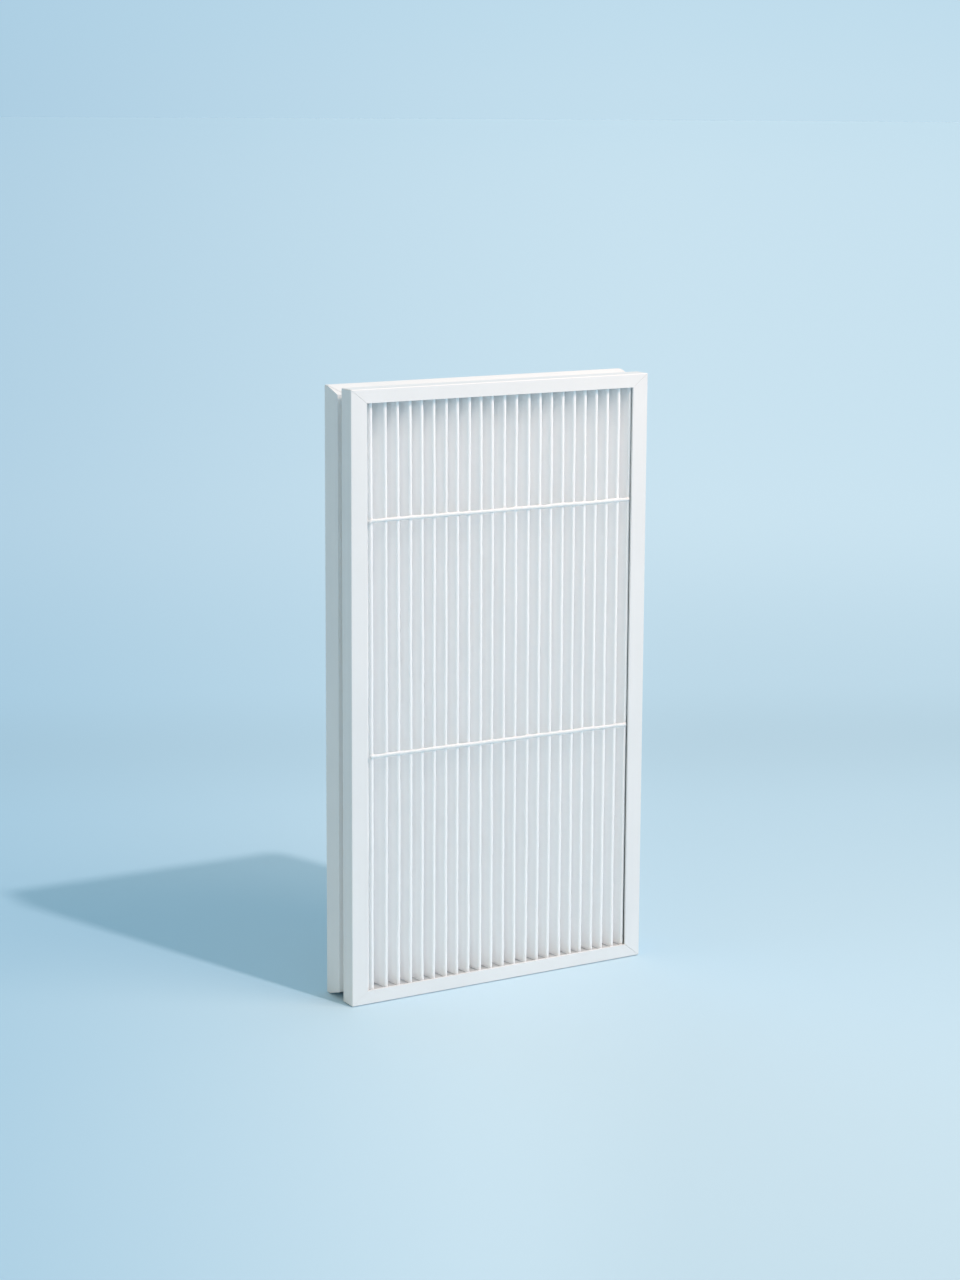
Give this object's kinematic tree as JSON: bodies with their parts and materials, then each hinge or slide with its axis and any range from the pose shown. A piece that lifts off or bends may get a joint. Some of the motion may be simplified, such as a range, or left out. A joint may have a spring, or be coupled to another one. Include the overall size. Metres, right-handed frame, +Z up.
{
  "type": "pleated panel air filter",
  "caption": "Rectangular air filter panel of folded white non-woven media in a mitred white plastic frame, with side guide grooves and sloped grip notches at the top and foot.",
  "frame": {"origin": "middle of the foot of the panel, on the surface that it stands on", "axes": "+Z up along the height; +X across the width, to the right seen from the front; +Y through the thickness, from the front flange to the rear rim"},
  "size_m": [0.277, 0.045, 0.5],
  "materials": {
    "frame_plastic": "smooth extruded, satin",
    "key_plastic": "moulded",
    "media": "thermally bonded non-woven",
    "hot_melt": "set hot melt, slightly glossy"
  },
  "bodies": {
    "root": {"frame_top": "frame_plastic", "frame_bottom": "frame_plastic", "frame_left": "frame_plastic", "frame_right": "frame_plastic", "corner_key_top_left": "key_plastic", "corner_key_top_right": "key_plastic", "corner_key_bottom_left": "key_plastic", "corner_key_bottom_right": "key_plastic", "pleated_media": "media", "front_thread_upper": "hot_melt", "front_thread_lower": "hot_melt", "rear_thread_upper": "hot_melt", "rear_thread_lower": "hot_melt", "top_seal": "hot_melt", "bottom_seal": "hot_melt", "left_seal": "hot_melt", "right_seal": "hot_melt"}
  },
  "joints": []
}
